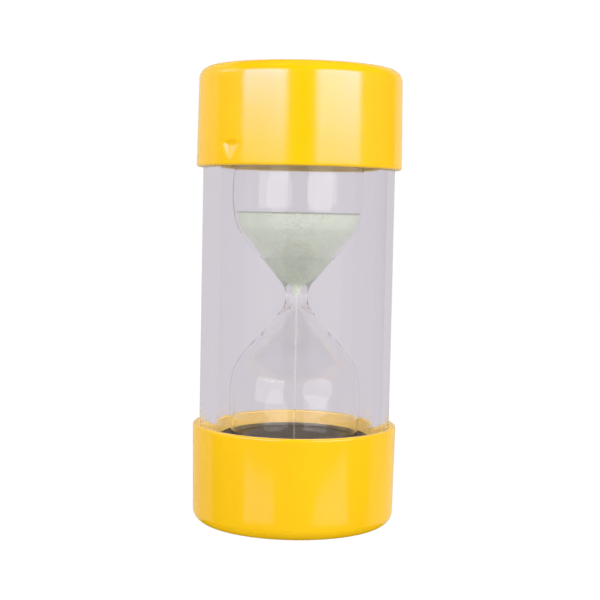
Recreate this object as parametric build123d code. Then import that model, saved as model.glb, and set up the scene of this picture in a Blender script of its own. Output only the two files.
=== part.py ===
from build123d import *
import math
import os

# All sizes in mm. Z is up, the axis of the timer is the Z axis, and the bottom cap stands on Z = 0.

# Whole timer
total_height = 160.0

# Barrel: a thick clear tube
barrel_outer_diameter = 67.6
barrel_wall = 5.8
barrel_end_chamfer = 0.5

# End caps, one moulding used at both ends
cap_height = 34.8
cap_rim_wall = 2.2
cap_draft = 0.55
cap_end_round = 4.2
cap_floor = 3.0
cap_ledge_height = 6.0
cap_lip_round = 0.8
cap_mouth_chamfer = 0.5

# Bond between a cap's ledge and the barrel's end
glue_thickness = 0.4
glue_width = 4.6

# Foam plugs that hold the vial
foam_below_rim = 3.9
foam_pocket_depth = 11.0

# Glass vial
vial_side_gap = 4.7
vial_wall = 0.8
neck_outer_diameter = 7.9
neck_bore_diameter = 1.9
neck_thick_length = 7.0

# Fill stopper
stopper_diameter = 6.0
stopper_depth = 4.5
stopper_head_diameter = 9.0
stopper_head_height = 1.2

# Sand
sand_level = 29.8
funnel_level = 14.0
stream_diameter = 0.9
stream_start = 0.8
heap_diameter = 14.0
heap_height = 2.6

# Clearances
cap_fit_clearance = 0.15
foam_fit_clearance = 0.2
pocket_clearance = 0.15
stopper_clearance = 0.05
sand_clearance = 0.3
head_clearance = 0.3

# Sizes that follow from those above
barrel_outer_radius = barrel_outer_diameter / 2
barrel_bore_radius = barrel_outer_radius - barrel_wall
cap_bore_radius = barrel_outer_radius + cap_fit_clearance
cap_rim_radius = cap_bore_radius + cap_rim_wall
cap_end_radius = cap_rim_radius - cap_draft
ledge_z = cap_floor + cap_ledge_height
barrel_bottom_z = ledge_z + glue_thickness
barrel_top_z = total_height - barrel_bottom_z
middle_z = total_height / 2
foam_radius = barrel_bore_radius - foam_fit_clearance
foam_top_z = cap_height - foam_below_rim
vial_radius = barrel_bore_radius - vial_side_gap
vial_half = middle_z - foam_top_z + foam_pocket_depth
neck_wall = (neck_outer_diameter - neck_bore_diameter) / 2
glue_mid_radius = (barrel_bore_radius + barrel_outer_radius) / 2
middle_plane = Plane.XY.offset(middle_z)

# Half of the vial's outline, from the waist to the end, as (share of bulb radius, share of half length)
bulb_outline = [
    (0.223, 0.073),
    (0.316, 0.118),
    (0.421, 0.168),
    (0.554, 0.226),
    (0.712, 0.293),
    (0.845, 0.358),
    (0.936, 0.416),
    (0.987, 0.507),
    (1.000, 0.599),
    (0.991, 0.707),
    (0.953, 0.840),
    (0.876, 0.912),
    (0.738, 0.962),
    (0.558, 0.990),
    (0.365, 1.000),
]


def outer_half():
    """Points (radius, height above the neck) on the outside of one bulb, from the waist to the flat end."""
    neck_radius = neck_outer_diameter / 2
    points = [(neck_radius, 0.0), (neck_radius * 1.05, 0.035 * vial_half)]
    points += [(a * vial_radius, b * vial_half) for a, b in bulb_outline]
    return points


def wall_at(height):
    """Glass thickness: thick at the neck, thin over the bulb."""
    return vial_wall + (neck_wall - vial_wall) * math.exp(-((height / neck_thick_length) ** 2))


def inward(points, distance_at):
    """The points moved square to the curve towards the inside, by a distance that may vary with height."""
    moved = []
    last = len(points) - 1
    for i, (r, z) in enumerate(points):
        r0, z0 = points[max(i - 1, 0)]
        r1, z1 = points[min(i + 1, last)]
        run, rise = r1 - r0, z1 - z0
        if i == 0:
            run, rise = 0.0, 1.0
        if i == last:
            run, rise = -1.0, 0.0
        length = math.hypot(run, rise)
        d = distance_at(z)
        moved.append((r - d * rise / length, z + d * run / length))
    return moved


def outline_face(half):
    """The flat face between the axis and a half outline that is mirrored about the neck, with flat ends."""
    upper = Spline(*reversed(half), tangents=[(1, 0), (0, -1)], tangent_scalars=[1, 1])
    lower = mirror(upper, about=Plane.XZ)
    radius, height = half[-1]
    ends = Polyline((radius, height), (0, height), (0, -height), (radius, -height))
    return Pos(0, middle_z) * make_face(upper + lower + ends)


def band(radius, z0, z1):
    """The flat face of a plain cylinder's half section between two heights."""
    return Pos(radius / 2, (z0 + z1) / 2) * Rectangle(radius, z1 - z0)


def turned(section):
    """A solid of revolution about Z from a half section."""
    return revolve(Plane.XZ * section, axis=Axis.Z)


def ring(inner_radius, outer_radius, z0, z1):
    """A plain ring or tube between two heights."""
    with BuildPart() as part:
        with BuildSketch(Plane.XY.offset(z0)):
            Circle(outer_radius)
            Circle(inner_radius, mode=Mode.SUBTRACT)
        extrude(amount=z1 - z0)
    return part.part


def disc(radius, z0, z1):
    """A plain cylinder between two heights."""
    with BuildPart() as part:
        with BuildSketch(Plane.XY.offset(z0)):
            Circle(radius)
        extrude(amount=z1 - z0)
    return part.part


def end_cap():
    """The bottom cap: rounded closed end, drafted wall, ledge for the barrel, well for the foam."""
    mouth = cap_mouth_chamfer
    with BuildPart() as part:
        with BuildSketch(Plane.XZ) as section:
            with BuildLine():
                Polyline(
                    (0, 0),
                    (cap_end_radius, 0),
                    (cap_rim_radius, cap_height),
                    (cap_bore_radius + mouth, cap_height),
                    (cap_bore_radius, cap_height - mouth),
                    (cap_bore_radius, ledge_z),
                    (barrel_bore_radius, ledge_z),
                    (barrel_bore_radius, cap_floor),
                    (0, cap_floor),
                    close=True,
                )
            make_face()
            corners = section.vertices()
            heel = corners.sort_by_distance((cap_end_radius, 0, 0))[0]
            fillet(heel, radius=cap_end_round)
            lip = section.vertices().sort_by_distance((cap_rim_radius, cap_height, 0))[0]
            fillet(lip, radius=cap_lip_round)
        revolve(axis=Axis.Z)
    return part.part


def barrel():
    """The clear tube, with its outer end edges broken so that it enters the caps."""
    tube = ring(barrel_bore_radius, barrel_outer_radius, barrel_bottom_z, barrel_top_z)
    ends = tube.edges().filter_by(GeomType.CIRCLE)
    ends = [e for e in ends if abs(e.radius - barrel_outer_radius) < 0.01]
    return chamfer(ends, barrel_end_chamfer)


outer = outer_half()
inner = inward(outer, wall_at)
sand_limit = inward(inner, lambda height: sand_clearance)
pocket = [(r + pocket_clearance, z) for r, z in outer]

vial_top_z = middle_z + vial_half
vial_floor_z = middle_z - vial_half + vial_wall
hole_radius = stopper_diameter / 2 + stopper_clearance

bottom_end_cap = end_cap()
top_end_cap = mirror(bottom_end_cap, about=middle_plane)

clear_barrel = barrel()

glue_half = glue_width / 2
bottom_glue_ring = ring(glue_mid_radius - glue_half, glue_mid_radius + glue_half, ledge_z, barrel_bottom_z)
top_glue_ring = mirror(bottom_glue_ring, about=middle_plane)

hole_bottom_z = vial_top_z - vial_wall
glass_section = outline_face(outer) - outline_face(inner)
glass_section -= band(hole_radius, hole_bottom_z, vial_top_z)
glass_vial = turned(glass_section)

stopper_shank = disc(stopper_diameter / 2, vial_top_z - stopper_depth, vial_top_z)
stopper_head = disc(stopper_head_diameter / 2, vial_top_z, vial_top_z + stopper_head_height)
fill_stopper = stopper_shank + stopper_head

pocket_face = outline_face(pocket)
bottom_foam_section = band(foam_radius, cap_floor, foam_top_z) - pocket_face
bottom_foam_plug = turned(bottom_foam_section)
head_room_radius = stopper_head_diameter / 2 + head_clearance
head_room_top_z = vial_top_z + stopper_head_height + head_clearance
top_foam_section = band(foam_radius, total_height - foam_top_z, total_height - cap_floor) - pocket_face
top_foam_section -= band(head_room_radius, hole_bottom_z, head_room_top_z)
top_foam_plug = turned(top_foam_section)

sand_face = outline_face(sand_limit)
funnel_bottom_z = middle_z + stream_start
funnel_top_z = middle_z + funnel_level
sand_top_z = middle_z + sand_level
sand_funnel = turned(sand_face & band(vial_radius, funnel_bottom_z, funnel_top_z))
sand_charge = turned(sand_face & band(vial_radius, funnel_top_z, sand_top_z))

heap_top_z = vial_floor_z + heap_height
heap_radius = heap_diameter / 2
with BuildPart() as heap_part:
    with BuildSketch(Plane.XZ):
        with BuildLine():
            foot = (heap_radius, vial_floor_z)
            crown = (stream_diameter, heap_top_z)
            Spline(foot, (heap_radius * 0.45, vial_floor_z + heap_height * 0.6), crown)
            Polyline(crown, (0, heap_top_z), (0, vial_floor_z), foot)
        make_face()
    revolve(axis=Axis.Z)
sand_heap = heap_part.part

sand_stream = disc(stream_diameter / 2, heap_top_z, funnel_bottom_z)

os.makedirs("parts", exist_ok=True)
export_step(top_end_cap, "parts/top_end_cap.step")
export_step(bottom_end_cap, "parts/bottom_end_cap.step")
export_step(clear_barrel, "parts/clear_barrel.step")
export_step(glass_vial, "parts/glass_vial.step")
export_step(fill_stopper, "parts/fill_stopper.step")
export_step(top_foam_plug, "parts/top_foam_plug.step")
export_step(bottom_foam_plug, "parts/bottom_foam_plug.step")
export_step(top_glue_ring, "parts/top_glue_ring.step")
export_step(bottom_glue_ring, "parts/bottom_glue_ring.step")
export_step(sand_charge, "parts/sand_charge.step")
export_step(sand_funnel, "parts/sand_funnel.step")
export_step(sand_stream, "parts/sand_stream.step")
export_step(sand_heap, "parts/sand_heap.step")
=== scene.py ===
"""A barrel sand timer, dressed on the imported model.

Yellow end caps, a clear barrel, a glass vial, foam plugs and pale green sand.
"""

import math

import bpy
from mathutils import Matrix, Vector


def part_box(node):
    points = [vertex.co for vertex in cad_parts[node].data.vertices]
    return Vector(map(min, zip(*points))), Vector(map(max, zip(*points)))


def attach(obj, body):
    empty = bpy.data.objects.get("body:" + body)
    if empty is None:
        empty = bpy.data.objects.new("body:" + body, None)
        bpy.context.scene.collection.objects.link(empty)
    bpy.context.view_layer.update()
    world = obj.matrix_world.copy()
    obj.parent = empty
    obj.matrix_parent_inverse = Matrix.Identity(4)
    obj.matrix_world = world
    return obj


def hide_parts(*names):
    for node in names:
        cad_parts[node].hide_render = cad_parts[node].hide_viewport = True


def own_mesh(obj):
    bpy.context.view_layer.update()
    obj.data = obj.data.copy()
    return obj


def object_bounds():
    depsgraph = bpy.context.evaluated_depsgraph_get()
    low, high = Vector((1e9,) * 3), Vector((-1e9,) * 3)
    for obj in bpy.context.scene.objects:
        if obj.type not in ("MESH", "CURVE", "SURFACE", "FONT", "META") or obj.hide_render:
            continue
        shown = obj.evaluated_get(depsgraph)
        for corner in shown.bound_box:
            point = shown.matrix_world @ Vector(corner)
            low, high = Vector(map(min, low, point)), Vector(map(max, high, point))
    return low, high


bl_info = {
    "name": "Sand timer",
    "version": (1, 0, 0),
    "blender": (4, 5, 0),
    "location": "View3D > Sidebar > Sand timer",
    "description": "Models a barrel sand timer piece by piece on its packed frame",
    "category": "Add Mesh",
}

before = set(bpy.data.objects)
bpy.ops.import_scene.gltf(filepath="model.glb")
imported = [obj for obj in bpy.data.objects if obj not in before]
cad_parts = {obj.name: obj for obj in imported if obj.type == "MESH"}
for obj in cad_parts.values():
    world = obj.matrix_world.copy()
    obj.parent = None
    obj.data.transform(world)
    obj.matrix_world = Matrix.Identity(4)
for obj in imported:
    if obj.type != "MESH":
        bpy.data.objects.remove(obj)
CAD_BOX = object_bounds()

MM = 0.001
BARREL_LOW, BARREL_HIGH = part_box("clear_barrel")
CAP_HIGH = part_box("bottom_end_cap")[1]
VIAL_LOW, VIAL_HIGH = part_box("glass_vial")
FOAM_LOW, FOAM_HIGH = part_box("bottom_foam_plug")
CHARGE_LOW, CHARGE_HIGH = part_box("sand_charge")
FUNNEL_LOW, FUNNEL_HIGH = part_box("sand_funnel")
STREAM_LOW, STREAM_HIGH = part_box("sand_stream")
HEAP_LOW, HEAP_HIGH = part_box("sand_heap")
STOPPER_LOW, STOPPER_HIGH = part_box("fill_stopper")
GLUE_LOW, GLUE_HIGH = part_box("bottom_glue_ring")
TOTAL_HEIGHT = CAD_BOX[1].z - CAD_BOX[0].z
MIDDLE = (VIAL_LOW.z + VIAL_HIGH.z) / 2
VIAL_HALF = VIAL_HIGH.z - MIDDLE
VIAL_RADIUS = VIAL_HIGH.x

# The stopper's head is half as wide again as its shank
STOPPER_SHANK = STOPPER_HIGH.x / 1.5

# Room between a cap's bore and the barrel
CAP_ROOM = 0.15 * MM

# Where the neck starts to flare, as (times its radius, share of half length)
NECK_FLARE = (1.05, 0.035)

# Half of the vial's outline, shoulder to flat end, as (share of bulb radius, share of half length)
BULB_OUTLINE = (
    (0.223, 0.073),
    (0.316, 0.118),
    (0.421, 0.168),
    (0.554, 0.226),
    (0.712, 0.293),
    (0.845, 0.358),
    (0.936, 0.416),
    (0.987, 0.507),
    (1.000, 0.599),
    (0.991, 0.707),
    (0.953, 0.840),
    (0.876, 0.912),
    (0.738, 0.962),
    (0.558, 0.990),
    (0.365, 1.000),
)

# The bore from the waist to the shoulder, as (times the bore at the waist, share of the shoulder's height)
BORE_OUTLINE = (
    (1.00, 0.000),
    (1.06, 0.200),
    (1.30, 0.420),
    (2.10, 0.625),
    (3.75, 0.820),
    (5.50, 1.000),
    (7.90, 1.250),
)

# The inside follows the bulb from this many shoulder heights on
BULB_START = 1.6

LAMP_WHITE = (1.0, 0.985, 0.97)


class TimerSizes(bpy.types.PropertyGroup):
    """Sizes of the pieces that the frame's boxes don't give."""

    barrel_wall: bpy.props.FloatProperty(
        name="Barrel wall", description="Thickness of the clear barrel", default=5.8 * MM, unit="LENGTH"
    )
    cap_wall: bpy.props.FloatProperty(
        name="Cap wall", description="Thickness of a cap at its rim", default=2.2 * MM, unit="LENGTH"
    )
    cap_draft: bpy.props.FloatProperty(
        name="Cap draft",
        description="How far a cap narrows towards its closed end",
        default=0.55 * MM,
        unit="LENGTH",
    )
    cap_floor: bpy.props.FloatProperty(
        name="Cap floor", description="Thickness of a cap's closed end", default=3.0 * MM, unit="LENGTH"
    )
    cap_ledge: bpy.props.FloatProperty(
        name="Cap ledge",
        description="Height of the ledge that carries the barrel",
        default=6.0 * MM,
        unit="LENGTH",
    )
    cap_round: bpy.props.FloatProperty(
        name="Cap round", description="Radius of the closed end's edge", default=4.2 * MM, unit="LENGTH"
    )
    lip_round: bpy.props.FloatProperty(
        name="Lip round", description="Radius of the rim's outer edge", default=0.8 * MM, unit="LENGTH"
    )
    dent_turn: bpy.props.FloatProperty(
        name="Dent turn",
        description="Where the top cap is dented, from the front",
        default=math.radians(-40.0),
        subtype="ANGLE",
    )
    dent_top: bpy.props.FloatProperty(
        name="Dent top", description="Height of the dent's crease", default=132.4 * MM, unit="LENGTH"
    )
    dent_width: bpy.props.FloatProperty(
        name="Dent width",
        description="Half width of the dent along its crease",
        default=4.4 * MM,
        unit="LENGTH",
    )
    dent_length: bpy.props.FloatProperty(
        name="Dent length",
        description="From the dent's crease down to its point",
        default=6.4 * MM,
        unit="LENGTH",
    )
    dent_depth: bpy.props.FloatProperty(
        name="Dent depth", description="Depth of the dent under its crease", default=0.9 * MM, unit="LENGTH"
    )
    glass_wall: bpy.props.FloatProperty(
        name="Glass wall",
        description="Thickness of the vial over its bulbs",
        default=0.8 * MM,
        unit="LENGTH",
    )
    neck_radius: bpy.props.FloatProperty(
        name="Neck radius", description="Outer radius of the waist", default=3.95 * MM, unit="LENGTH"
    )
    neck_bore: bpy.props.FloatProperty(
        name="Neck bore", description="Inner radius of the waist", default=0.95 * MM, unit="LENGTH"
    )
    shoulder_height: bpy.props.FloatProperty(
        name="Shoulder height",
        description="From the waist to where the bore opens out",
        default=8.0 * MM,
        unit="LENGTH",
    )
    sand_gap: bpy.props.FloatProperty(
        name="Sand gap", description="Room between the sand and the glass", default=0.08 * MM, unit="LENGTH"
    )
    funnel_press: bpy.props.FloatProperty(
        name="Funnel press",
        description="How far the funnel's sand lies into the glass",
        default=0.03 * MM,
        unit="LENGTH",
    )


class TimerColours(bpy.types.PropertyGroup):
    """Colours of the finishes, as linear values."""

    # Painted light: the inner faces' paler, greyer yellow stands in for the sheen seen on the caps' inner
    # walls
    cap_inside_painted_light: bpy.props.FloatVectorProperty(
        name="Cap inside", description="Caps' inner faces", default=(0.56, 0.365, 0.1), subtype="COLOR"
    )
    cap_yellow: bpy.props.FloatVectorProperty(
        name="Cap yellow", description="Moulded caps", default=(0.464, 0.273, 0.0004), subtype="COLOR"
    )
    barrel_tint: bpy.props.FloatVectorProperty(
        name="Barrel tint", description="Clear barrel", default=(0.985, 0.98, 0.985), subtype="COLOR"
    )
    sand_green: bpy.props.FloatVectorProperty(
        name="Sand green", description="Pale sand", default=(0.302, 0.322, 0.28), subtype="COLOR"
    )
    surround_grey: bpy.props.FloatVectorProperty(
        name="Surround",
        description="Grey seen through the barrel",
        default=(0.65, 0.612, 0.665),
        subtype="COLOR",
    )
    foam_black: bpy.props.FloatVectorProperty(
        name="Foam black", description="Foam plugs", default=(0.0075, 0.005, 0.0044), subtype="COLOR"
    )


class StudioSettings(bpy.types.PropertyGroup):
    """Camera and light."""

    camera_distance: bpy.props.FloatProperty(
        name="Camera distance", description="From the timer's axis", default=0.4755, unit="LENGTH"
    )
    camera_height: bpy.props.FloatProperty(
        name="Camera height", description="Above the floor", default=0.1104, unit="LENGTH"
    )
    camera_pitch: bpy.props.FloatProperty(
        name="Camera pitch", description="Downward tilt", default=math.radians(3.81), subtype="ANGLE"
    )
    camera_roll: bpy.props.FloatProperty(
        name="Camera roll", description="Lean of the picture", default=math.radians(1.167), subtype="ANGLE"
    )
    camera_lens: bpy.props.FloatProperty(
        name="Lens", description="Focal length in millimetres", default=80.4
    )
    frame_shift: bpy.props.FloatProperty(
        name="Frame shift", description="Sideways shift as a share of the picture", default=0.00568
    )
    box_distance: bpy.props.FloatProperty(
        name="Softbox distance", description="From the timer to each softbox", default=0.9, unit="LENGTH"
    )
    box_width: bpy.props.FloatProperty(
        name="Softbox width", description="Width of each softbox", default=0.84, unit="LENGTH"
    )
    box_top: bpy.props.FloatProperty(
        name="Softbox top", description="Height of each softbox's upper edge", default=0.62, unit="LENGTH"
    )
    box_strength: bpy.props.FloatProperty(
        name="Softbox strength", description="Brightness of each softbox", default=1.0
    )
    window_strength: bpy.props.FloatProperty(
        name="Window strength", description="Brightness of the softboxes in the vial", default=1.5
    )
    bounce_strength: bpy.props.FloatProperty(
        name="Bounce strength", description="Brightness of the table's glow on the bottom cap", default=0.85
    )


def sizes():
    return bpy.context.scene.timer_sizes


def colours():
    return bpy.context.scene.timer_colours


def studio():
    return bpy.context.scene.timer_studio


def clamp(value):
    """A value kept between 0 and 1."""
    return min(max(value, 0), 1)


def start_fresh():
    """Object mode, with nothing selected."""
    if bpy.context.object and bpy.context.object.mode != "OBJECT":
        bpy.ops.object.mode_set(mode="OBJECT")
    bpy.ops.object.select_all(action="DESELECT")


def pick(piece):
    """Makes a piece the only one selected, and the active one."""
    start_fresh()
    piece.select_set(True)
    bpy.context.view_layer.objects.active = piece


def smooth_line(points, steps):
    """A smooth line through the points, with the given number of steps between each pair."""
    line = []
    last = len(points) - 1
    for i in range(last):
        a, b = Vector(points[max(i - 1, 0)]), Vector(points[i])
        c, d = Vector(points[i + 1]), Vector(points[min(i + 2, last)])
        for k in range(steps):
            t = k / steps
            bend = (2 * a - 5 * b + 4 * c - d) * t + (3 * b - a - 3 * c + d) * t * t
            line.append(tuple(b + 0.5 * t * (c - a + bend)))
    line.append(tuple(points[last]))
    return line


def even_line(line, count):
    """The same line walked in equal steps."""
    reach = [0.0]
    for a, b in zip(line, line[1:]):
        reach.append(reach[-1] + math.dist(a, b))
    walked = []
    k = 0
    for i in range(count + 1):
        wanted = reach[-1] * i / count
        while k < len(line) - 2 and reach[k + 1] < wanted:
            k += 1
        share = (wanted - reach[k]) / max(reach[k + 1] - reach[k], 1e-12)
        walked.append(tuple(Vector(line[k]).lerp(Vector(line[k + 1]), min(share, 1.0))))
    return walked


def drawn_profile(name, points, closed=False):
    """A chain of edges in the XZ plane, drawn by extruding one point along (radius, height) places."""
    start_fresh()
    r, z = points[0]
    bpy.ops.mesh.primitive_plane_add(size=MM, location=(r, 0, z))
    piece = bpy.context.object
    piece.name = name
    piece.data.name = name
    bpy.ops.object.mode_set(mode="EDIT")
    bpy.ops.mesh.select_all(action="SELECT")
    bpy.ops.mesh.merge(type="CENTER")
    for (r0, z0), (r1, z1) in zip(points, points[1:]):
        bpy.ops.mesh.extrude_region_move(TRANSFORM_OT_translate={"value": (r1 - r0, 0, z1 - z0)})
    bpy.ops.object.mode_set(mode="OBJECT")
    bpy.ops.object.transform_apply(location=True, rotation=True, scale=True)
    if closed:
        pick_points(piece, [points[0], points[-1]])
        bpy.ops.object.mode_set(mode="EDIT")
        bpy.ops.mesh.edge_face_add()
        bpy.ops.object.mode_set(mode="OBJECT")
    return piece


def pick_points(piece, places):
    """Selects the vertices of a profile that lie at these (radius, height) places."""
    mesh = piece.data
    for part in (mesh.vertices, mesh.edges, mesh.polygons):
        for item in part:
            item.select = False
    for r, z in places:
        wanted = Vector((r, 0, z))
        nearest = min(mesh.vertices, key=lambda v: (v.co - wanted).length)
        nearest.select = True


def round_corner(piece, place, radius, segments):
    """Rounds one corner of a profile with a vertex bevel."""
    pick_points(piece, [place])
    bpy.ops.object.mode_set(mode="EDIT")
    bpy.ops.mesh.select_mode(type="VERT")
    bpy.ops.mesh.bevel(affect="VERTICES", offset=radius, segments=segments, profile=0.5)
    bpy.ops.object.mode_set(mode="OBJECT")


def spun(piece, steps, angle=2 * math.pi, start=0.0, flats=True):
    """Turns a profile about Z into a surface with its faces outwards."""
    pick(piece)
    bpy.ops.object.modifier_add(type="SCREW")
    lathe = piece.modifiers[-1]
    lathe.axis = "Z"
    lathe.angle = angle
    lathe.steps = steps
    lathe.render_steps = steps
    lathe.use_merge_vertices = True
    lathe.merge_threshold = 1e-6
    bpy.ops.object.modifier_apply(modifier=lathe.name)
    bpy.ops.object.mode_set(mode="EDIT")
    bpy.ops.mesh.select_all(action="SELECT")
    bpy.ops.mesh.remove_doubles(threshold=2e-6)
    if start:
        bpy.ops.transform.rotate(value=-start, orient_axis="Z", center_override=(0, 0, 0))
    bpy.ops.mesh.normals_make_consistent(inside=False)
    bpy.ops.object.mode_set(mode="OBJECT")
    bpy.ops.object.shade_smooth_by_angle(angle=math.radians(40))
    if flats:
        keep_flats(piece)
    return piece


def keep_flats(piece):
    """Lets the large faces set the shading, so that flats stay flat beside rounded edges."""
    pick(piece)
    bpy.ops.object.modifier_add(type="WEIGHTED_NORMAL")
    weigh = piece.modifiers[-1]
    weigh.weight = 100
    weigh.keep_sharp = True
    bpy.ops.object.modifier_apply(modifier=weigh.name)


def flipped_copy(piece, name):
    """The same piece turned end for end about the middle of the timer, with its own mesh."""
    pick(piece)
    bpy.ops.object.duplicate(linked=False)
    twin = bpy.context.object
    twin.name = name
    twin.data.name = name
    bpy.ops.object.mode_set(mode="EDIT")
    bpy.ops.mesh.select_all(action="SELECT")
    bpy.ops.transform.resize(value=(1, 1, -1), center_override=(0, 0, MIDDLE))
    bpy.ops.mesh.normals_make_consistent(inside=False)
    bpy.ops.object.mode_set(mode="OBJECT")
    return twin


def within(face, radius):
    """Whether a face lies on or inside a radius about the axis."""
    return math.hypot(face.center.x, face.center.y) < radius + 0.1 * MM


def set_in_place(piece, body, node, finish):
    """Gives a piece its finish and its body, and hides the imported part that it stands for."""
    piece.data.materials.clear()
    piece.data.materials.append(finish)
    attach(piece, body)
    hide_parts(node)
    return piece


def let_light_in(piece):
    """Lets soft light reach what stands inside a clear piece."""
    piece.visible_shadow = False
    piece.visible_diffuse = False


def new_finish(name):
    """A material with its shader and an Object coordinate to build on."""
    finish = bpy.data.materials.get(name)
    if finish:
        bpy.data.materials.remove(finish)
    finish = bpy.data.materials.new(name)
    finish.use_nodes = True
    nodes = finish.node_tree.nodes
    shader = nodes["Principled BSDF"]
    place = nodes.new("ShaderNodeTexCoord")
    return finish, finish.node_tree, shader, place.outputs["Object"]


def noise(tree, place, scale, detail=4.0, roughness=0.55, stretch=None):
    """Noise on Object coordinates, with an optional stretch."""
    texture = tree.nodes.new("ShaderNodeTexNoise")
    texture.inputs["Scale"].default_value = scale
    texture.inputs["Detail"].default_value = detail
    texture.inputs["Roughness"].default_value = roughness
    if stretch:
        mapping = tree.nodes.new("ShaderNodeMapping")
        mapping.inputs["Scale"].default_value = stretch
        tree.links.new(place, mapping.inputs["Vector"])
        place = mapping.outputs["Vector"]
    tree.links.new(place, texture.inputs["Vector"])
    return texture.outputs["Fac"]


def cells(tree, place, scale):
    """Small cells on Object coordinates, each with its own colour."""
    texture = tree.nodes.new("ShaderNodeTexVoronoi")
    texture.inputs["Scale"].default_value = scale
    tree.links.new(place, texture.inputs["Vector"])
    return texture.outputs


def spread(tree, value, low, high, from_low=0.0, from_high=1.0):
    """A value carried from one range to another."""
    node = tree.nodes.new("ShaderNodeMapRange")
    node.inputs["From Min"].default_value = from_low
    node.inputs["From Max"].default_value = from_high
    node.inputs["To Min"].default_value = low
    node.inputs["To Max"].default_value = high
    tree.links.new(value, node.inputs["Value"])
    return node.outputs["Result"]


def sum_of(tree, value, share, other):
    """A share of one value added to another."""
    node = tree.nodes.new("ShaderNodeMath")
    node.operation = "MULTIPLY_ADD"
    node.inputs[1].default_value = share
    tree.links.new(value, node.inputs[0])
    tree.links.new(other, node.inputs[2])
    return node.outputs[0]


def blend_colours(tree, value, first, second):
    """Two colours mixed by a value."""
    node = tree.nodes.new("ShaderNodeMix")
    node.data_type = "RGBA"
    node.inputs[6].default_value = (*first, 1)
    node.inputs[7].default_value = (*second, 1)
    tree.links.new(value, node.inputs["Factor"])
    return node.outputs[2]


def raised(tree, height, strength, distance, below=None):
    """A bump from a height, on top of another bump."""
    node = tree.nodes.new("ShaderNodeBump")
    node.inputs["Strength"].default_value = strength
    node.inputs["Distance"].default_value = distance
    tree.links.new(height, node.inputs["Height"])
    if below:
        tree.links.new(below, node.inputs["Normal"])
    return node.outputs["Normal"]


def shade(colour, share):
    """A colour made lighter or darker."""
    return tuple(min(1.0, c * share) for c in colour)


def uneven(tree, value, colour, dark, light):
    """A colour that drifts between a darker and a lighter shade of itself."""
    contrast = spread(tree, value, 0, 1, from_low=0.3, from_high=0.7)
    return blend_colours(tree, contrast, shade(colour, dark), shade(colour, light))


def cap_finish():
    """Satin yellow vinyl: faint flow marks, a fine moulded skin and uneven gloss."""
    finish, tree, shader, place = new_finish("cap_vinyl")
    flow = noise(tree, place, scale=38.0, detail=3.0, roughness=0.5, stretch=(1, 1, 0.5))
    tone = uneven(tree, flow, colours().cap_yellow, dark=0.96, light=1.04)
    tree.links.new(tone, shader.inputs["Base Color"])
    skin = noise(tree, place, scale=2600.0, detail=2.0)
    waves = noise(tree, place, scale=60.0, detail=2.0)
    tree.links.new(spread(tree, waves, 0.155, 0.21), shader.inputs["Roughness"])
    bump = raised(tree, waves, strength=0.12, distance=0.0008)
    bump = raised(tree, skin, strength=0.06, distance=0.00005, below=bump)
    tree.links.new(bump, shader.inputs["Normal"])
    shader.inputs["IOR"].default_value = 1.5
    shader.inputs["Specular Tint"].default_value = (0.34, 0.34, 1.0, 1)
    return finish


def painted_light_inside_finish():
    """The caps' inner faces: the cap yellow made paler and greyer as painted light, for the sheen on their
    walls; dull.
    """
    finish, tree, shader, place = new_finish("cap_inside_painted_light")
    flow = noise(tree, place, scale=90.0, detail=3.0, roughness=0.5)
    tone = uneven(tree, flow, colours().cap_inside_painted_light, dark=0.92, light=1.06)
    tree.links.new(tone, shader.inputs["Base Color"])
    tree.links.new(spread(tree, flow, 0.3, 0.4), shader.inputs["Roughness"])
    tree.links.new(raised(tree, flow, strength=0.1, distance=0.0004), shader.inputs["Normal"])
    shader.inputs["Specular IOR Level"].default_value = 0.4
    return finish


def barrel_finish(name, tint):
    """Clear plastic with faint lines drawn along its length."""
    finish, tree, shader, place = new_finish(name)
    shader.inputs["Base Color"].default_value = (*tint, 1)
    shader.inputs["Transmission Weight"].default_value = 1.0
    shader.inputs["Roughness"].default_value = 0.0
    shader.inputs["IOR"].default_value = 1.49
    shader.inputs["Specular Tint"].default_value = (0.22, 0.22, 0.22, 1)
    lines = noise(tree, place, scale=140.0, detail=2.0, roughness=0.5, stretch=(1, 1, 0.02))
    tree.links.new(raised(tree, lines, strength=0.05, distance=0.0004), shader.inputs["Normal"])
    return finish


def glass_finish():
    """Clear blown glass, a little wavy."""
    finish, tree, shader, place = new_finish("vial_glass")
    shader.inputs["Base Color"].default_value = (0.985, 0.988, 0.988, 1)
    shader.inputs["Transmission Weight"].default_value = 1.0
    shader.inputs["Roughness"].default_value = 0.0
    shader.inputs["IOR"].default_value = 1.27
    shader.inputs["Specular Tint"].default_value = (3.0, 3.0, 3.0, 1)
    swirl = noise(tree, place, scale=55.0, detail=1.5, roughness=0.4, stretch=(1, 1, 0.45))
    tree.links.new(raised(tree, swirl, strength=0.06, distance=0.001), shader.inputs["Normal"])
    return finish


def rim_shade(tree, place):
    """How far a place lies in shade: the rim of the sand's top, where it meets the glass."""
    top = CHARGE_HIGH.z
    rim = sand_edge(CHARGE_LOW.z, top, sizes().sand_gap)[-1][0]
    apart = tree.nodes.new("ShaderNodeSeparateXYZ")
    tree.links.new(place, apart.inputs["Vector"])
    flat = tree.nodes.new("ShaderNodeVectorMath")
    flat.operation = "MULTIPLY"
    flat.inputs[1].default_value = (1, 1, 0)
    tree.links.new(place, flat.inputs[0])
    reach = tree.nodes.new("ShaderNodeVectorMath")
    reach.operation = "LENGTH"
    tree.links.new(flat.outputs["Vector"], reach.inputs[0])
    high = spread(tree, apart.outputs["Z"], 0, 1, top - 0.7 * MM, top - 0.2 * MM)
    outer = spread(tree, reach.outputs["Value"], 0, 0.62, rim - 0.8 * MM, rim - 0.2 * MM)
    edge = tree.nodes.new("ShaderNodeMath")
    edge.operation = "MULTIPLY"
    tree.links.new(high, edge.inputs[0])
    tree.links.new(outer, edge.inputs[1])
    return edge.outputs[0]


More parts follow.
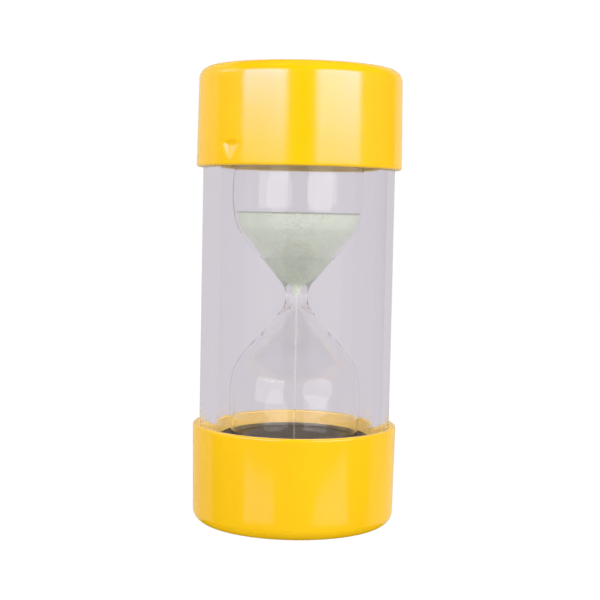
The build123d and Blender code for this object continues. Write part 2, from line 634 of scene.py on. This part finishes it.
def sand_finish():
    """Fine pale green sand: each grain with its own tone, soft drifts and a shaded rim."""
    finish, tree, shader, place = new_finish("green_sand")
    green = colours().sand_green
    grains = cells(tree, place, scale=2900.0)
    split = tree.nodes.new("ShaderNodeSeparateColor")
    tree.links.new(grains["Color"], split.inputs["Color"])
    drift = noise(tree, place, scale=170.0, detail=3.0, stretch=(1, 1, 0.35))
    drift = spread(tree, drift, 0.0, 0.2, from_low=0.3, from_high=0.7)
    tone = sum_of(tree, split.outputs["Red"], 0.8, drift)
    sand = blend_colours(tree, tone, shade(green, 0.8), shade(green, 1.18))
    shaded = tree.nodes.new("ShaderNodeMix")
    shaded.data_type = "RGBA"
    tree.links.new(rim_shade(tree, place), shaded.inputs["Factor"])
    tree.links.new(sand, shaded.inputs[6])
    shaded.inputs[7].default_value = (*shade(green, 0.2), 1)
    tree.links.new(shaded.outputs[2], shader.inputs["Base Color"])
    shader.inputs["Roughness"].default_value = 0.85
    shader.inputs["Specular IOR Level"].default_value = 0.3
    bump = raised(tree, grains["Distance"], strength=0.55, distance=0.00025)
    tree.links.new(bump, shader.inputs["Normal"])
    return finish


def falling_finish():
    """Falling sand: the same grains, thin enough to see through."""
    finish, tree, shader, place = new_finish("falling_sand")
    grains = noise(tree, place, scale=1800.0, detail=3.0, roughness=0.6, stretch=(1, 1, 0.2))
    tone = uneven(tree, grains, colours().sand_green, dark=0.85, light=1.25)
    tree.links.new(tone, shader.inputs["Base Color"])
    shader.inputs["Roughness"].default_value = 0.9
    shader.inputs["Specular IOR Level"].default_value = 0.2
    shader.inputs["Alpha"].default_value = 0.13
    tree.links.new(raised(tree, grains, strength=0.4, distance=0.0002), shader.inputs["Normal"])
    return finish


def foam_finish():
    """Black closed-cell foam, with fine open cells where it was cut."""
    finish, tree, shader, place = new_finish("black_foam")
    black = colours().foam_black
    cut_cells = cells(tree, place, scale=1500.0)
    cloud = noise(tree, place, scale=120.0)
    tone = blend_colours(tree, cloud, shade(black, 0.75), shade(black, 1.5))
    tree.links.new(tone, shader.inputs["Base Color"])
    tree.links.new(spread(tree, cloud, 0.55, 0.75), shader.inputs["Roughness"])
    shader.inputs["Specular IOR Level"].default_value = 0.3
    bump = raised(tree, cut_cells["Distance"], strength=0.5, distance=0.0003)
    tree.links.new(bump, shader.inputs["Normal"])
    return finish


def stopper_finish():
    """Dull off-white rubber."""
    finish, tree, shader, place = new_finish("stopper_rubber")
    cloud = noise(tree, place, scale=900.0, detail=3.0)
    tone = blend_colours(tree, cloud, (0.5, 0.48, 0.42), (0.62, 0.6, 0.54))
    tree.links.new(tone, shader.inputs["Base Color"])
    tree.links.new(spread(tree, cloud, 0.6, 0.75), shader.inputs["Roughness"])
    tree.links.new(raised(tree, cloud, strength=0.2, distance=0.0001), shader.inputs["Normal"])
    return finish


def glue_finish():
    """Cured adhesive, milky and a little uneven."""
    finish, tree, shader, place = new_finish("clear_adhesive")
    cloud = noise(tree, place, scale=400.0, detail=3.0)
    tone = blend_colours(tree, cloud, (0.62, 0.58, 0.44), (0.78, 0.74, 0.6))
    tree.links.new(tone, shader.inputs["Base Color"])
    tree.links.new(spread(tree, cloud, 0.2, 0.35), shader.inputs["Roughness"])
    tree.links.new(raised(tree, cloud, strength=0.15, distance=0.0003), shader.inputs["Normal"])
    return finish


def stage_finish():
    """Plain pale floor and backdrop, which glow by themselves."""
    finish, tree, shader, place = new_finish("pale_floor")
    cloud = noise(tree, place, scale=3.0, detail=2.0)
    tone = blend_colours(tree, cloud, (0.01, 0.01, 0.01), (0.012, 0.012, 0.012))
    tree.links.new(tone, shader.inputs["Base Color"])
    shader.inputs["Roughness"].default_value = 0.9
    shader.inputs["Specular IOR Level"].default_value = 0.0
    shader.inputs["Emission Color"].default_value = (1, 1, 1, 1)
    shader.inputs["Emission Strength"].default_value = 1.0
    return finish


def lamp_finish(name, stops):
    """A bright face whose strength follows its height: each stop is a height and a strength."""
    finish, tree, shader, place = new_finish(name)
    split = tree.nodes.new("ShaderNodeSeparateXYZ")
    tree.links.new(place, split.inputs["Vector"])
    low, high = stops[0][0], stops[-1][0]
    strongest = max(strength for height, strength in stops)
    ramp = tree.nodes.new("ShaderNodeValToRGB")
    while len(ramp.color_ramp.elements) < len(stops):
        ramp.color_ramp.elements.new(0.5)
    for element, (height, strength) in zip(ramp.color_ramp.elements, stops):
        element.position = (height - low) / max(high - low, 1e-6)
        element.color = (*shade(LAMP_WHITE, strength / strongest), 1)
    tree.links.new(spread(tree, split.outputs["Z"], 0, 1, low, high), ramp.inputs["Fac"])
    tree.links.new(ramp.outputs["Color"], shader.inputs["Emission Color"])
    shader.inputs["Base Color"].default_value = (0, 0, 0, 1)
    shader.inputs["Emission Strength"].default_value = strongest
    return finish


def even_lamp(name, strength):
    """A bright face of one strength all over."""
    return lamp_finish(name, ((0.0, strength), (0.1, strength)))


def vial_outside():
    """(radius, height above the neck) along the outside of one bulb, from the waist to the flat end."""
    waist = sizes().neck_radius
    widening, height = NECK_FLARE
    points = [(waist, 0.0), (waist * widening, height * VIAL_HALF)]
    points += [(a * VIAL_RADIUS, b * VIAL_HALF) for a, b in BULB_OUTLINE]
    return points


def moved_in(points, distance):
    """A half outline moved square to itself towards the inside."""
    moved = []
    last = len(points) - 1
    for i, (r, z) in enumerate(points):
        r0, z0 = points[max(i - 1, 0)]
        r1, z1 = points[min(i + 1, last)]
        run, rise = r1 - r0, z1 - z0
        if i == 0:
            run, rise = 0.0, 1.0
        if i == last:
            run, rise = -1.0, 0.0
        length = math.hypot(run, rise)
        moved.append((r - distance * rise / length, z + distance * run / length))
    return moved


def vial_inside():
    """The same along the inside: a narrow bore through the thick neck, which opens out under the bulb."""
    s = sizes()
    bore = [(a * s.neck_bore, b * s.shoulder_height) for a, b in BORE_OUTLINE]
    bulb = moved_in(vial_outside(), s.glass_wall)
    return bore + [(r, z) for r, z in bulb if z > BULB_START * s.shoulder_height]


def both_bulbs(half, steps):
    """A smooth line up both bulbs, from the lower flat end to the upper one."""
    whole = [(r, -z) for r, z in reversed(half[1:])] + list(half)
    return [(r, MIDDLE + z) for r, z in smooth_line(whole, steps)]


def sand_edge(low, high, gap):
    """The line that the sand keeps to inside the glass, between two heights, at a gap from the glass."""
    line = both_bulbs(moved_in(vial_inside(), gap), 6)
    edge = [(r, z) for r, z in line if low < z < high]
    return [radius_on(line, low)] + edge + [radius_on(line, high)]


def radius_on(line, height):
    """The (radius, height) place where a rising line crosses a height."""
    for (r0, z0), (r1, z1) in zip(line, line[1:]):
        if z0 <= height <= z1:
            share = (height - z0) / max(z1 - z0, 1e-9)
            return (r0 + share * (r1 - r0), height)
    raise RuntimeError("the sand lies outside the vial")


class TIMER_OT_caps(bpy.types.Operator):
    """Turns the two moulded end caps"""

    bl_idname = "timer.caps"
    bl_label = "End caps"

    def execute(self, context):
        s = sizes()
        rim = CAP_HIGH.z
        bore = BARREL_HIGH.x + CAP_ROOM
        outer = bore + s.cap_wall
        well = BARREL_HIGH.x - s.barrel_wall
        ledge = s.cap_floor + s.cap_ledge
        heel = (outer - s.cap_draft, 0.0)
        lip = (outer, rim)
        mouth = (bore, rim)
        inner = [mouth, (bore, ledge), (well, ledge), (well, s.cap_floor), (0.0, s.cap_floor)]
        cap = drawn_profile("bottom_cap", [(0.0, 0.0), heel] + self.wall(heel[0], rim) + [lip] + inner)
        round_corner(cap, heel, radius=s.cap_round, segments=12)
        round_corner(cap, lip, radius=s.lip_round, segments=6)
        round_corner(cap, mouth, radius=0.5 * MM, segments=4)
        round_corner(cap, (bore, ledge), radius=0.6 * MM, segments=3)
        round_corner(cap, (well, ledge), radius=0.4 * MM, segments=3)
        spun(cap, steps=240, flats=False)
        twin = flipped_copy(cap, "top_cap")
        self.dent(twin)
        keep_flats(cap)
        keep_flats(twin)
        finish = cap_finish()
        set_in_place(cap, "timer", "bottom_end_cap", finish)
        set_in_place(twin, "timer", "top_end_cap", finish)
        # The inner faces take the paler yellow, painted light for the sheen on their walls
        painted_light_core = painted_light_inside_finish()
        for piece, end in ((cap, 0.0), (twin, TOTAL_HEIGHT)):
            piece.data.materials.append(painted_light_core)
            for face in piece.data.polygons:
                inside = within(face, bore) and abs(face.center.z - end) > 0.5 * s.cap_floor
                face.material_index = int(inside)
        return {"FINISHED"}

    def wall(self, heel_radius, rim):
        """Close rings up the drafted wall, between the rounds at its two ends, for the dent to press in."""
        rings = 56
        first, reach = 0.16, 0.8
        shares = [first + reach * k / rings for k in range(1, rings)]
        return [(heel_radius + share * sizes().cap_draft, share * rim) for share in shares]

    def dent(self, cap):
        """Presses a small wedge into the wall: a crease along its top that runs out to a point below."""
        s = sizes()
        bow = 0.6 * MM
        crease_height = 1.0 * MM
        spare, softness = 1.2, 1.1
        ahead = Vector((math.sin(s.dent_turn), -math.cos(s.dent_turn), 0))
        along = Vector((math.cos(s.dent_turn), math.sin(s.dent_turn), 0))
        for vertex in cap.data.vertices:
            place = Vector((vertex.co.x, vertex.co.y, 0))
            if place.dot(ahead) < 0 or place.length < BARREL_HIGH.x + 1.0 * MM:
                continue
            side = abs(place.dot(along)) / s.dent_width
            crease = s.dent_top + bow * side * side
            down = (crease - vertex.co.z) / s.dent_length
            step = clamp(1 + down * s.dent_length / crease_height)
            slope = clamp(1 - down)
            width = clamp((spare - side / max(slope, 0.05)) / softness)
            depth = s.dent_depth * step * slope * width * width * (3 - 2 * width)
            vertex.co -= place.normalized() * depth


class TIMER_OT_barrel(bpy.types.Operator):
    """Turns the thick clear barrel"""

    bl_idname = "timer.barrel"
    bl_label = "Clear barrel"

    def execute(self, context):
        low, high, outer = BARREL_LOW.z, BARREL_HIGH.z, BARREL_HIGH.x
        bore = outer - sizes().barrel_wall
        corners = [(bore, low), (outer, low), (outer, high), (bore, high)]
        barrel = drawn_profile("barrel", corners, closed=True)
        for corner in corners:
            round_corner(barrel, corner, radius=0.5 * MM, segments=4)
        spun(barrel, steps=256)
        finish = barrel_finish("barrel_plastic", colours().barrel_tint)
        set_in_place(barrel, "timer", "clear_barrel", finish)
        barrel.data.materials.append(barrel_finish("barrel_bore", (1, 1, 1)))
        for face in barrel.data.polygons:
            face.material_index = int(within(face, bore))
        let_light_in(barrel)
        return {"FINISHED"}


class TIMER_OT_vial(bpy.types.Operator):
    """Blows the glass vial with its two bulbs and the neck, and plugs its filling hole"""

    bl_idname = "timer.vial"
    bl_label = "Glass vial"

    def execute(self, context):
        hole = STOPPER_SHANK + 0.05 * MM
        rings = 240
        skin = even_line(both_bulbs(vial_outside(), 40), rings)
        lining = even_line(both_bulbs(vial_inside(), 40), rings)
        top, floor = skin[-1][1], lining[0][1]
        points = [(0.0, skin[0][1])] + skin + [(hole, top), (hole, lining[-1][1])]
        points += lining[::-1] + [(0.0, floor)]
        vial = drawn_profile("vial", points)
        spun(vial, steps=192, flats=False)
        set_in_place(vial, "timer", "glass_vial", glass_finish())
        let_light_in(vial)
        self.plug(top)
        return {"FINISHED"}

    def plug(self, seat):
        """The rubber stopper in the filling hole."""
        shank, head = STOPPER_SHANK, STOPPER_HIGH.x
        low, high = STOPPER_LOW.z, STOPPER_HIGH.z
        points = [(0.0, low), (shank, low), (shank, seat), (head, seat), (head, high), (0.0, high)]
        stopper = drawn_profile("stopper", points)
        round_corner(stopper, (shank, low), radius=0.8 * MM, segments=4)
        round_corner(stopper, (head, high), radius=0.4 * MM, segments=4)
        spun(stopper, steps=64)
        set_in_place(stopper, "timer", "fill_stopper", stopper_finish())


class TIMER_OT_foam(bpy.types.Operator):
    """Cuts the two black foam plugs with their pockets for the vial's ends"""

    bl_idname = "timer.foam"
    bl_label = "Foam plugs"

    def execute(self, context):
        finish = foam_finish()
        low, high, radius = FOAM_LOW.z, FOAM_HIGH.z, FOAM_HIGH.x
        pocket_room, head_room = 0.12 * MM, 0.3 * MM
        skin = [(r + pocket_room, z) for r, z in both_bulbs(vial_outside(), 4) if z < high]
        mouth = (skin[-1][0], high)
        edges = [(radius, high), (radius, low)]
        points = [(0.0, skin[0][1])] + skin + [mouth] + edges + [(0.0, low)]
        self.cut("bottom_foam", points, mouth, edges, finish)
        up = TOTAL_HEIGHT
        head, head_top = STOPPER_HIGH.x + head_room, STOPPER_HIGH.z + head_room
        mouth = (mouth[0], up - high)
        edges = [(radius, up - high), (radius, up - low)]
        points = [(0.0, head_top), (head, head_top), (head, up - skin[0][1])]
        points += [(r, up - z) for r, z in skin if r > head]
        points += [mouth] + edges + [(0.0, up - low)]
        self.cut("top_foam", points, mouth, edges, finish)
        return {"FINISHED"}

    def cut(self, name, points, mouth, edges, finish):
        """One plug, with its edges a little worn."""
        plug = drawn_profile(name, points)
        round_corner(plug, mouth, radius=0.5 * MM, segments=4)
        for edge in edges:
            round_corner(plug, edge, radius=0.6 * MM, segments=4)
        spun(plug, steps=128)
        set_in_place(plug, "timer", name + "_plug", finish)


class TIMER_OT_glue(bpy.types.Operator):
    """Lays the two beds of adhesive under the barrel's ends"""

    bl_idname = "timer.glue"
    bl_label = "Adhesive rings"

    def execute(self, context):
        finish = glue_finish()
        low, high, outer = GLUE_LOW.z, GLUE_HIGH.z, GLUE_HIGH.x
        bed_width = 4.6 * MM
        inner = outer - bed_width
        corners = [(inner, low), (outer, low), (outer, high), (inner, high)]
        ring = drawn_profile("bottom_glue", corners, closed=True)
        for corner in corners:
            round_corner(ring, corner, radius=0.15 * MM, segments=3)
        spun(ring, steps=128)
        twin = flipped_copy(ring, "top_glue")
        set_in_place(ring, "timer", "bottom_glue_ring", finish)
        set_in_place(twin, "timer", "top_glue_ring", finish)
        return {"FINISHED"}


class TIMER_OT_sand(bpy.types.Operator):
    """Fills in the sand: the charge, the funnel above the neck, the falling thread and the first heap"""

    bl_idname = "timer.sand"
    bl_label = "Sand"

    def execute(self, context):
        finish = sand_finish()
        self.charge(finish)
        self.funnel(finish)
        self.thread(falling_finish())
        self.heap(finish)
        return {"FINISHED"}

    def charge(self, finish):
        """The sand in the upper bulb, with a shallow dip where it has begun to run."""
        level = CHARGE_HIGH.z
        edge = sand_edge(CHARGE_LOW.z, level, sizes().sand_gap)
        rim = edge[-1][0]
        rings = 24
        dip = 0.7 * MM
        dip_share = 0.22
        shares = [1 - k / rings for k in range(1, rings)]
        surface = [(rim * share, level - dip * math.exp(-((share / dip_share) ** 2))) for share in shares]
        points = [(0.0, CHARGE_LOW.z)] + edge + surface + [(0.0, level - dip)]
        charge = spun(drawn_profile("sand_in_upper_bulb", points), steps=160, flats=False)
        set_in_place(charge, "running_sand", "sand_charge", finish)

    def funnel(self, finish):
        """The sand in the cone above the neck."""
        edge = sand_edge(FUNNEL_LOW.z, FUNNEL_HIGH.z, -sizes().funnel_press)
        points = [(0.0, FUNNEL_LOW.z)] + edge + [(0.0, FUNNEL_HIGH.z)]
        funnel = spun(drawn_profile("sand_in_neck", points), steps=128, flats=False)
        set_in_place(funnel, "timer", "sand_funnel", finish)

    def thread(self, finish):
        """The falling thread, which shortens as the sand rises below it."""
        low, high, radius = STREAM_LOW.z, STREAM_HIGH.z, STREAM_HIGH.x
        rings = 120
        ripple_depth, quick_waves, slow_waves = 0.16, 37, 11
        foot_share, widening = 0.58, 0.3
        places = []
        for k in range(rings + 1):
            share = k / rings
            quick, slow = math.sin(quick_waves * share * math.pi), math.sin(slow_waves * share * math.pi)
            ripple = 1 + ripple_depth * quick * slow
            places.append((radius * (foot_share + widening * share) * ripple, low + share * (high - low)))
        thread = spun(drawn_profile("sand_thread", [(0.0, low)] + places + [(0.0, high)]), steps=16)
        set_in_place(thread, "timer", "sand_stream", finish)
        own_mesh(thread)

    def heap(self, finish):
        """The first sand on the lower bulb's floor."""
        low, high, foot = HEAP_LOW.z, HEAP_HIGH.z, HEAP_HIGH.x
        tall = high - low
        slope = [(1.0, 0.0), (0.8, 0.16), (0.45, 0.6), (0.2, 0.88), (0.06, 1.0)]
        line = smooth_line([(foot * out, low + up * tall) for out, up in slope], 4)
        heap = spun(drawn_profile("sand_heap_pile", [(0.0, low)] + line + [(0.0, high)]), steps=64)
        set_in_place(heap, "timer", "sand_heap", finish)


class TIMER_OT_stage(bpy.types.Operator):
    """Sets the floor and its backdrop, the softboxes and fills, the grey surround and the camera"""

    bl_idname = "timer.stage"
    bl_label = "Stage"

    def execute(self, context):
        self.floor()
        self.key_lights()
        self.windows()
        self.fills()
        self.bounce()
        self.walls()
        self.surround()
        self.camera()
        return {"FINISHED"}

    def floor(self):
        """A pale floor that sweeps up into a backdrop all round the timer."""
        finish = stage_finish()
        near, far, top = 1.5, 2.0, 2.5
        overlap = 0.08
        start_fresh()
        bpy.ops.mesh.primitive_circle_add(vertices=96, radius=near + overlap, fill_type="NGON")
        floor = bpy.context.object
        floor.name = "floor"
        floor.data.materials.append(finish)
        self.shown_to(floor, "camera", "diffuse")
        backdrop = ("backdrop", -20, 220, ("camera", "diffuse"))
        front = ("front_backdrop", 198, 144, ("camera",))
        for name, start, sweep, kinds in (backdrop, front):
            wall = drawn_profile(name, [(near, 0.0), (far, 0.0), (far, top)])
            round_corner(wall, (far, 0.0), radius=0.4, segments=12)
            spun(wall, steps=96, angle=math.radians(sweep), start=math.radians(start))
            wall.data.materials.append(finish)
            self.shown_to(wall, *kinds)

    def shown_to(self, piece, *kinds):
        """Makes a piece of the stage, seen by these kinds of light path alone."""
        piece.visible_camera = "camera" in kinds
        piece.visible_diffuse = "diffuse" in kinds
        piece.visible_glossy = "glossy" in kinds
        piece.visible_transmission = "transmission" in kinds
        piece.visible_shadow = False

    def panel(self, name, finish, azimuth, width, low, high, sides=4):
        """A flat upright panel that faces the timer, between two heights."""
        start_fresh()
        a = math.radians(azimuth)
        corner = 0.5 / math.cos(math.pi / sides)
        bpy.ops.mesh.primitive_circle_add(
            vertices=sides, radius=corner, fill_type="NGON", rotation=(0, 0, math.pi / sides)
        )
        panel = bpy.context.object
        panel.name = name
        bpy.ops.object.transform_apply(rotation=True)
        panel.scale = (width, high - low, 1)
        bpy.ops.object.transform_apply(scale=True)
        panel.rotation_euler = (math.pi / 2, 0, a)
        panel.location = Vector((math.sin(a), -math.cos(a), 0)) * studio().box_distance
        panel.location.z = (low + high) / 2
        bpy.ops.object.transform_apply(location=True, rotation=True)
        panel.data.materials.append(finish)
        return panel

    def key_lights(self):
        """Two softboxes in front, bright above and faint below: each stop is a height and a strength."""
        s = studio()
        left = ((0.0, 0.6), (0.16, 0.6), (0.22, 1.6), (0.29, 18), (0.42, 15), (0.62, 4))
        right = ((0.0, 1.0), (0.14, 1.2), (0.2, 4.4), (0.29, 15), (0.42, 15), (0.62, 8))
        for side, stops, azimuth in (("left", left, -40), ("right", right, 43)):
            finish = lamp_finish(side + "_key", [(height, glow * s.box_strength) for height, glow in stops])
            box = self.panel(side + "_softbox", finish, azimuth, s.box_width, low=-0.05, high=s.box_top)
            self.shown_to(box, "diffuse", "glossy")

    def windows(self):
        """The softboxes' faces as the vial shows them: a square one and an eight-sided one."""
        finish = even_lamp("window_face", studio().window_strength)
        square = self.panel("square_window", finish, azimuth=-44, width=0.86, low=-0.06, high=0.36)
        self.shown_to(square, "transmission", "diffuse")
        eight = self.panel(
            "eight_sided_window", finish, azimuth=39, width=0.88, low=-0.09, high=0.39, sides=8
        )
        self.shown_to(eight, "transmission", "diffuse")

    def fills(self):
        """Soft light from the sides, behind, above and low in front, and a card that shows in the dent."""
        for name, azimuth, strength in (("left", -95, 2.0), ("right", 95, 2.8), ("back", 180, 4.0)):
            finish = even_lamp(name + "_fill", strength)
            side = self.panel(name + "_fill", finish, azimuth, width=0.9, low=-0.05, high=0.6)
            self.shown_to(side, "diffuse")
        finish = even_lamp("low_fill", 4.0)
        self.shown_to(self.panel("low_fill", finish, azimuth=0, width=1.6, low=-0.45, high=0.05), "diffuse")
        finish = even_lamp("left_card", 3.6)
        self.shown_to(self.panel("left_card", finish, azimuth=-88, width=0.5, low=0.34, high=0.62), "glossy")
        start_fresh()
        bpy.ops.mesh.primitive_plane_add(size=1.2, location=(0, 0, 1.1))
        above = bpy.context.object
        above.name = "top_fill"
        bpy.ops.object.transform_apply(location=True)
        above.data.materials.append(even_lamp("top_fill", 2.2))
        self.shown_to(above, "diffuse")

    def bounce(self):
        """Light that the table throws back up at the bottom cap, left and right."""
        finish = even_lamp("table_glow", studio().bounce_strength)
        above_floor = 0.2 * MM
        left = ((-0.036, -0.112), (-0.125, -0.105), (-0.014, -0.056), (-0.035, -0.044))
        right = ((0.044, -0.1), (0.15, -0.105), (0.014, -0.056), (0.04, -0.038))
        for name, corners in (("left_bounce", left), ("right_bounce", right)):
            start_fresh()
            bpy.ops.mesh.primitive_plane_add(size=0.1)
            patch = bpy.context.object
            patch.name = name
            for vertex, (x, y) in zip(patch.data.vertices, corners):
                vertex.co = (x, y, above_floor)
            patch.data.materials.append(finish)
            self.shown_to(patch, "glossy")

    def walls(self):
        """Grey walls beside and behind, which the caps reflect."""
        glow = 0.58
        radius, low, high = 1.3, -0.6, 1.6
        grey = even_lamp("grey_wall", glow)
        fading = lamp_finish("fading_wall", ((-0.35, glow), (0.1, 0.0)))
        for name, finish, start, sweep in (("grey_wall", grey, 40, 127), ("fading_wall", fading, 5, 35)):
            wall = drawn_profile(name, [(radius, low), (radius, high)])
            spun(wall, steps=48, angle=math.radians(sweep), start=math.radians(start), flats=False)
            wall.data.materials.append(finish)
            self.shown_to(wall, "glossy")

    def surround(self):
        """The even grey that shows through the clear barrel, with bounces enough for its layers."""
        world = bpy.data.worlds.new("grey_surround")
        world.use_nodes = True
        background = world.node_tree.nodes["Background"]
        background.inputs["Color"].default_value = (*colours().surround_grey, 1)
        background.inputs["Strength"].default_value = 1.0
        world.cycles_visibility.camera = False
        world.cycles_visibility.diffuse = False
        world.cycles_visibility.glossy = False
        bpy.context.scene.world = world
        bpy.context.scene.view_settings.view_transform = "Standard"
        paths = bpy.context.scene.cycles
        paths.max_bounces = 24
        paths.glossy_bounces = 16
        paths.transmission_bounces = 24

    def camera(self):
        """A camera at the photograph's place."""
        s = studio()
        start_fresh()
        bpy.ops.object.camera_add(location=(0, -s.camera_distance, s.camera_height))
        camera = bpy.context.object
        camera.name = "camera"
        camera.rotation_euler = (math.pi / 2 - s.camera_pitch, 0, 0)
        camera.rotation_euler.rotate_axis("Z", s.camera_roll)
        camera.data.sensor_width = 36.0
        camera.data.lens = s.camera_lens
        camera.data.shift_x = s.frame_shift
        camera.data.clip_start = 0.01
        camera.data.clip_end = 20
        bpy.context.scene.camera = camera


class TIMER_PT_panel(bpy.types.Panel):
    """Sidebar panel with the timer's sizes, colours and pieces"""

    bl_idname = "TIMER_PT_panel"
    bl_label = "Sand timer"
    bl_space_type = "VIEW_3D"
    bl_region_type = "UI"
    bl_category = "Sand timer"

    def draw(self, context):
        scene = context.scene
        for group in (scene.timer_sizes, scene.timer_colours, scene.timer_studio):
            for name in group.__annotations__:
                self.layout.prop(group, name)
        for piece in PIECES:
            self.layout.operator(piece.bl_idname)


GROUPS = (TimerSizes, TimerColours, StudioSettings)
PIECES = (
    TIMER_OT_caps,
    TIMER_OT_barrel,
    TIMER_OT_vial,
    TIMER_OT_foam,
    TIMER_OT_glue,
    TIMER_OT_sand,
    TIMER_OT_stage,
)


def register():
    for group in GROUPS:
        bpy.utils.register_class(group)
    for piece in PIECES:
        bpy.utils.register_class(piece)
    bpy.utils.register_class(TIMER_PT_panel)
    bpy.types.Scene.timer_sizes = bpy.props.PointerProperty(type=TimerSizes)
    bpy.types.Scene.timer_colours = bpy.props.PointerProperty(type=TimerColours)
    bpy.types.Scene.timer_studio = bpy.props.PointerProperty(type=StudioSettings)


def unregister():
    del bpy.types.Scene.timer_studio
    del bpy.types.Scene.timer_colours
    del bpy.types.Scene.timer_sizes
    bpy.utils.unregister_class(TIMER_PT_panel)
    for piece in reversed(PIECES):
        bpy.utils.unregister_class(piece)
    for group in reversed(GROUPS):
        bpy.utils.unregister_class(group)


def main():
    register()
    bpy.ops.timer.caps()
    bpy.ops.timer.barrel()
    bpy.ops.timer.vial()
    bpy.ops.timer.foam()
    bpy.ops.timer.glue()
    bpy.ops.timer.sand()
    bpy.ops.timer.stage()
    bpy.context.view_layer.update()


if __name__ == "__main__":
    main()
